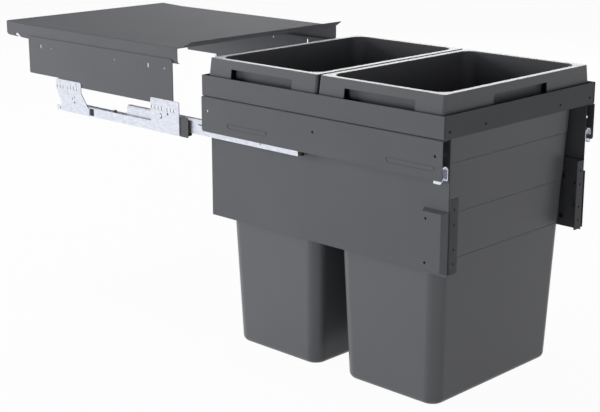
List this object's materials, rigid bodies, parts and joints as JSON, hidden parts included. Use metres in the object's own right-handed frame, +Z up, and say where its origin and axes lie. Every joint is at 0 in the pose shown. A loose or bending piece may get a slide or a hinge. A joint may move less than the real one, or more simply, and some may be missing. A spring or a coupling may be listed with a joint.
{
  "type": "pull-out waste unit for a base cabinet",
  "caption": "Pull-out waste unit: lift-out bins in a folded steel carrier on full-extension runners, under a sheet lid that stays in the cabinet.",
  "frame": {"origin": "on the cabinet's centre line, in the plane of its front edges, level with the carrier's top edge", "axes": "+X to the right seen from the front, +Y into the cabinet along the runners, +Z up"},
  "size_m": [0.414, 1.09, 0.5295],
  "materials": {
    "coat": "fine matt powder coat, anthracite grey",
    "bin": "fine-grained moulded plastic, anthracite grey",
    "zinc": "bright zinc-plated steel",
    "black": "matt black plastic"
  },
  "bodies": {
    "cabinet_fittings": {"right_side_plate": "coat", "left_side_plate": "coat", "right_front_bracket": "zinc", "left_front_bracket": "zinc", "right_rear_bracket": "zinc", "left_rear_bracket": "zinc", "right_cabinet_rail": "zinc", "left_cabinet_rail": "zinc", "right_rail_end_block": "black", "left_rail_end_block": "black", "right_rail_clip": "black", "left_rail_clip": "black", "right_rail_stud": "black", "left_rail_stud": "black", "right_damper": "black", "left_damper": "black", "right_front_rivet_a": "zinc", "left_front_rivet_a": "zinc", "right_front_rivet_b": "zinc", "left_front_rivet_b": "zinc", "right_rear_rivet_a": "zinc", "left_rear_rivet_a": "zinc", "right_rear_rivet_b": "zinc", "left_rear_rivet_b": "zinc"},
    "lid": {"lid": "coat"},
    "right_catch": {"right_soft_close_catch": "black"},
    "left_catch": {"left_soft_close_catch": "black"},
    "right_rollers": {"right_roller_cage": "black"},
    "left_rollers": {"left_roller_cage": "black"},
    "right_middle": {"right_middle_rail": "zinc", "right_middle_bumper": "black"},
    "left_middle": {"left_middle_rail": "zinc", "left_middle_bumper": "black"},
    "right_balls": {"right_ball_cage": "black"},
    "left_balls": {"left_ball_cage": "black"},
    "carrier": {"right_side_panel": "coat", "left_side_panel": "coat", "right_rail_cover": "coat", "left_rail_cover": "coat", "right_drawer_rail": "zinc", "left_drawer_rail": "zinc", "right_rail_latch": "zinc", "left_rail_latch": "zinc", "right_door_bracket": "coat", "left_door_bracket": "coat", "right_bracket_cap": "coat", "left_bracket_cap": "coat", "right_upper_cap_screw": "zinc", "left_upper_cap_screw": "zinc", "right_lower_cap_screw": "zinc", "left_lower_cap_screw": "zinc", "front_cross_plate": "coat", "rear_cross_plate": "coat"},
    "front_bin": {"front_bin": "bin"},
    "rear_bin": {"rear_bin": "bin"}
  },
  "joints": [
    {"name": "carrier_pull", "type": "slide", "parent": "cabinet_fittings", "child": "carrier", "axis": [0, -1, 0], "range_m": [-0.565, 0]},
    {"name": "right_middle_slide", "type": "slide", "parent": "cabinet_fittings", "child": "right_middle", "axis": [0, -1, 0], "range_m": [-0.2825, 0]},
    {"name": "left_middle_slide", "type": "slide", "parent": "cabinet_fittings", "child": "left_middle", "axis": [0, -1, 0], "range_m": [-0.2825, 0]},
    {"name": "right_balls_slide", "type": "slide", "parent": "cabinet_fittings", "child": "right_balls", "axis": [0, -1, 0], "range_m": [-0.42375, 0]},
    {"name": "left_balls_slide", "type": "slide", "parent": "cabinet_fittings", "child": "left_balls", "axis": [0, -1, 0], "range_m": [-0.42375, 0]},
    {"name": "right_rollers_slide", "type": "slide", "parent": "cabinet_fittings", "child": "right_rollers", "axis": [0, -1, 0], "range_m": [-0.14125, 0]},
    {"name": "left_rollers_slide", "type": "slide", "parent": "cabinet_fittings", "child": "left_rollers", "axis": [0, -1, 0], "range_m": [-0.14125, 0]},
    {"name": "right_catch_slide", "type": "slide", "parent": "cabinet_fittings", "child": "right_catch", "axis": [0, 1, 0], "range_m": [0, 0.034]},
    {"name": "left_catch_slide", "type": "slide", "parent": "cabinet_fittings", "child": "left_catch", "axis": [0, 1, 0], "range_m": [0, 0.034]},
    {"name": "front_bin_lift", "type": "slide", "parent": "carrier", "child": "front_bin", "axis": [0, 0, 1], "range_m": [0, 0.55]},
    {"name": "rear_bin_lift", "type": "slide", "parent": "carrier", "child": "rear_bin", "axis": [0, 0, 1], "range_m": [0, 0.55]},
    {"name": "lid_lift", "type": "slide", "parent": "cabinet_fittings", "child": "lid", "axis": [0, 0, 1], "range_m": [0, 0.12]}
  ],
  "couplings": [
    {"joint": "right_middle_slide", "follows": "carrier_pull", "ratio": 0.5},
    {"joint": "left_middle_slide", "follows": "carrier_pull", "ratio": 0.5},
    {"joint": "right_balls_slide", "follows": "carrier_pull", "ratio": 0.75},
    {"joint": "left_balls_slide", "follows": "carrier_pull", "ratio": 0.75},
    {"joint": "right_rollers_slide", "follows": "carrier_pull", "ratio": 0.25},
    {"joint": "left_rollers_slide", "follows": "carrier_pull", "ratio": 0.25}
  ]
}
